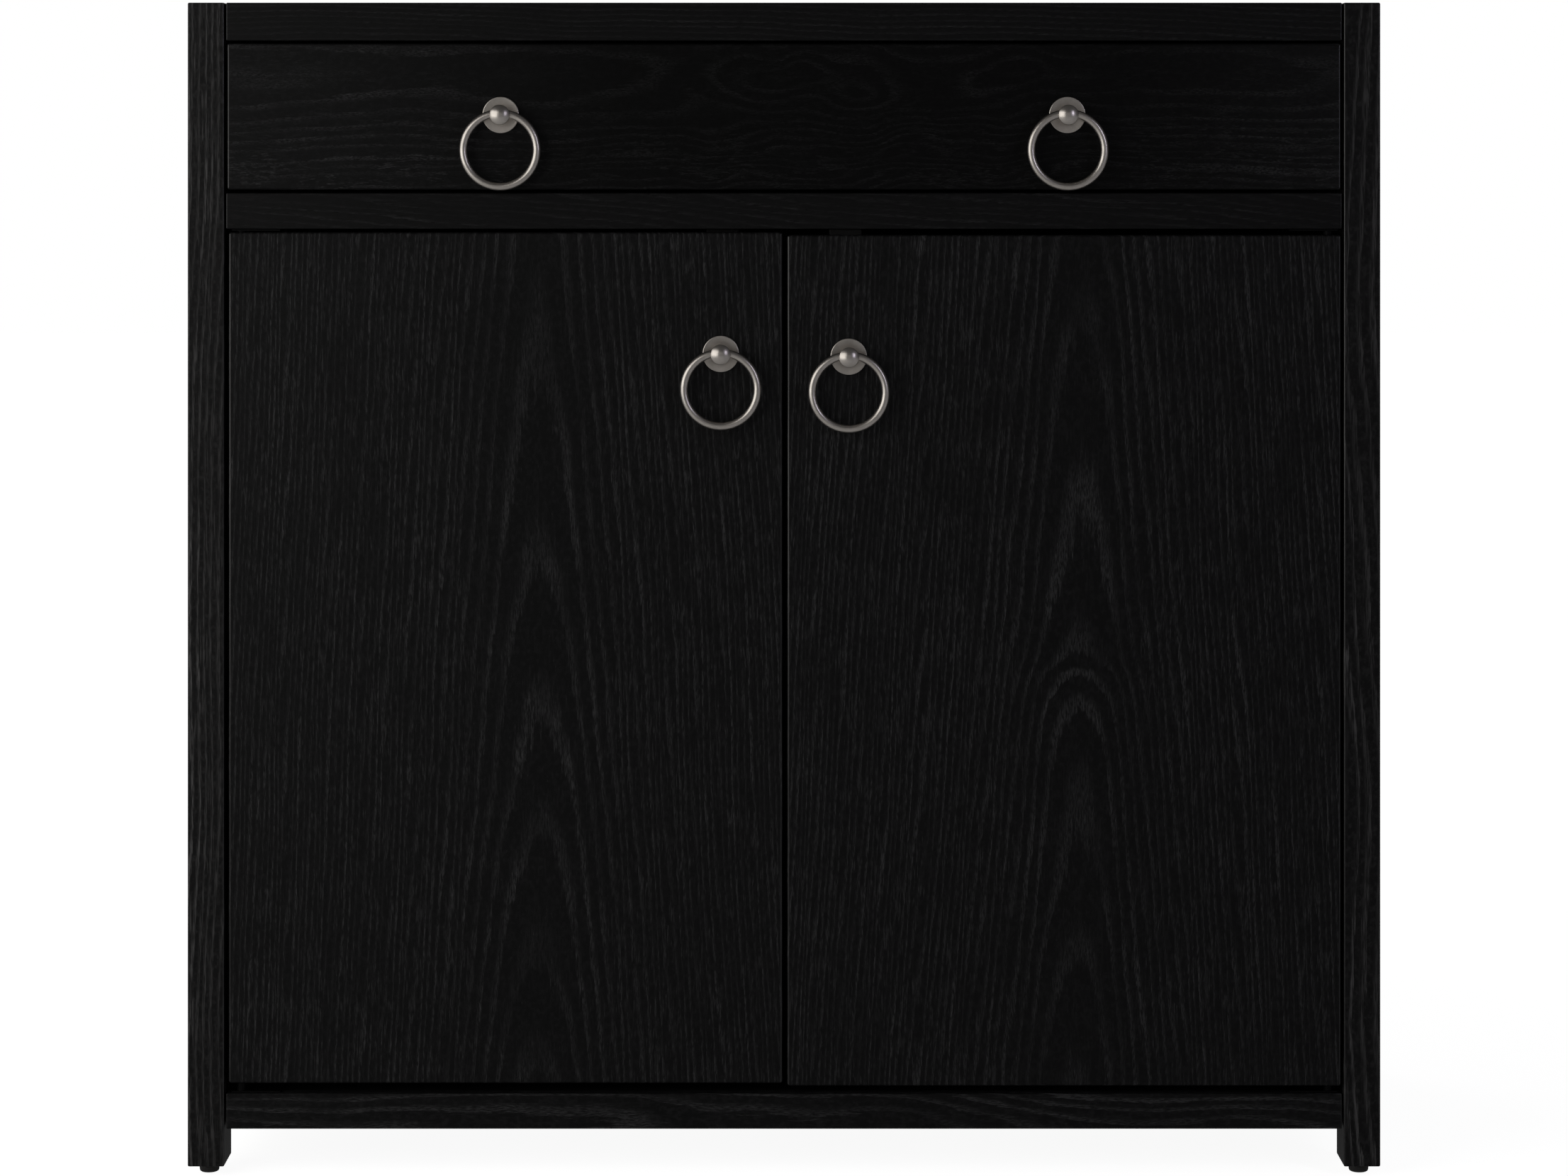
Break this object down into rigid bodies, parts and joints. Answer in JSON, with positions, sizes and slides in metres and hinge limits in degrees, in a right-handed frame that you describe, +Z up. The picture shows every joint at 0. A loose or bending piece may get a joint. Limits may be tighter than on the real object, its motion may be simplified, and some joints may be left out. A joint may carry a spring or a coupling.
{
  "type": "apothecary cabinet",
  "caption": "Black-stained oak cabinet on square legs: a full-width drawer over a pair of inset doors, each opened by a hanging metal ring pull, with a loose shelf inside.",
  "frame": {"origin": "on the floor, under the centre of the whole object's box, ring pulls included", "axes": "+X to the right as seen from the front, +Y towards the back, +Z up; the drawer and doors face -Y"},
  "size_m": [0.914, 0.3988, 0.9],
  "materials": {
    "black_oak": "black-stained open-pore oak, low-sheen lacquer",
    "drawer_box": "dark-stained oak, matt lacquer",
    "satin_nickel": "satin nickel plate",
    "steel": "bright zinc plate",
    "black_steel": "black oxide, satin",
    "glide_plastic": "matt black nylon",
    "catch_plastic": "matt dark plastic"
  },
  "bodies": {
    "root": {"adjustable_shelf": "black_oak", "back_panel": "black_oak", "bottom_rail": "black_oak", "cabinet_floor": "black_oak", "drawer_divider": "black_oak", "foot_glide_front_left": "glide_plastic", "foot_glide_front_right": "glide_plastic", "foot_glide_rear_left": "glide_plastic", "foot_glide_rear_right": "glide_plastic", "front_left_leg": "black_oak", "front_right_leg": "black_oak", "left_door_bottom_pivot": "black_steel", "left_door_top_pivot": "black_steel", "left_magnetic_catch": "catch_plastic", "left_side_panel": "black_oak", "left_slide_cabinet_member": "steel", "middle_rail": "black_oak", "rear_left_leg": "black_oak", "rear_right_leg": "black_oak", "right_door_bottom_pivot": "black_steel", "right_door_top_pivot": "black_steel", "right_magnetic_catch": "catch_plastic", "right_side_panel": "black_oak", "right_slide_cabinet_member": "steel", "shelf_pin_front_left": "steel", "shelf_pin_front_right": "steel", "shelf_pin_rear_left": "steel", "shelf_pin_rear_right": "steel", "top_panel": "black_oak"},
    "drawer": {"drawer_back": "drawer_box", "drawer_bottom": "drawer_box", "drawer_front": "black_oak", "drawer_left_pull_nut": "steel", "drawer_left_pull_rosette": "satin_nickel", "drawer_left_pull_stud": "satin_nickel", "drawer_left_side": "drawer_box", "drawer_right_pull_nut": "steel", "drawer_right_pull_rosette": "satin_nickel", "drawer_right_pull_stud": "satin_nickel", "drawer_right_side": "drawer_box", "left_slide_drawer_member": "steel", "right_slide_drawer_member": "steel"},
    "left_middle_slide": {"left_slide_middle_member": "steel"},
    "right_middle_slide": {"right_slide_middle_member": "steel"},
    "left_door": {"left_door": "black_oak", "left_door_bottom_bush": "black_steel", "left_door_pull_nut": "steel", "left_door_pull_rosette": "satin_nickel", "left_door_pull_stud": "satin_nickel", "left_door_top_bush": "black_steel"},
    "right_door": {"right_door": "black_oak", "right_door_bottom_bush": "black_steel", "right_door_pull_nut": "steel", "right_door_pull_rosette": "satin_nickel", "right_door_pull_stud": "satin_nickel", "right_door_top_bush": "black_steel"},
    "drawer_left_ring": {"drawer_left_pull_ring": "satin_nickel"},
    "drawer_right_ring": {"drawer_right_pull_ring": "satin_nickel"},
    "left_door_ring": {"left_door_pull_ring": "satin_nickel"},
    "right_door_ring": {"right_door_pull_ring": "satin_nickel"}
  },
  "joints": [
    {"name": "drawer_slide", "type": "slide", "parent": "root", "child": "drawer", "axis": [0, -1, 0], "range_m": [0, 0.3]},
    {"name": "left_middle_slide_travel", "type": "slide", "parent": "root", "child": "left_middle_slide", "axis": [0, -1, 0], "range_m": [0, 0.15]},
    {"name": "right_middle_slide_travel", "type": "slide", "parent": "root", "child": "right_middle_slide", "axis": [0, -1, 0], "range_m": [0, 0.15]},
    {"name": "left_door_hinge", "type": "hinge", "parent": "root", "child": "left_door", "pos_m": [-0.4163, -0.1748, 0.39785], "axis": [0, 0, -1], "range_deg": [0, 110]},
    {"name": "right_door_hinge", "type": "hinge", "parent": "root", "child": "right_door", "pos_m": [0.4175, -0.1748, 0.39575], "axis": [0, 0, 1], "range_deg": [0, 110]},
    {"name": "drawer_left_ring_swing", "type": "hinge", "parent": "drawer", "child": "drawer_left_ring", "pos_m": [-0.217, -0.1906, 0.8148], "axis": [-1, 0, 0], "range_deg": [-5, 170]},
    {"name": "drawer_right_ring_swing", "type": "hinge", "parent": "drawer", "child": "drawer_right_ring", "pos_m": [0.217, -0.1906, 0.8148], "axis": [-1, 0, 0], "range_deg": [-5, 170]},
    {"name": "left_door_ring_swing", "type": "hinge", "parent": "left_door", "child": "left_door_ring", "pos_m": [-0.0484, -0.1906, 0.6318], "axis": [-1, 0, 0], "range_deg": [-5, 170]},
    {"name": "right_door_ring_swing", "type": "hinge", "parent": "right_door", "child": "right_door_ring", "pos_m": [0.0496, -0.1906, 0.6297], "axis": [-1, 0, 0], "range_deg": [-5, 170]}
  ],
  "couplings": [
    {"joint": "left_middle_slide_travel", "follows": "drawer_slide", "ratio": 0.5},
    {"joint": "right_middle_slide_travel", "follows": "drawer_slide", "ratio": 0.5}
  ]
}
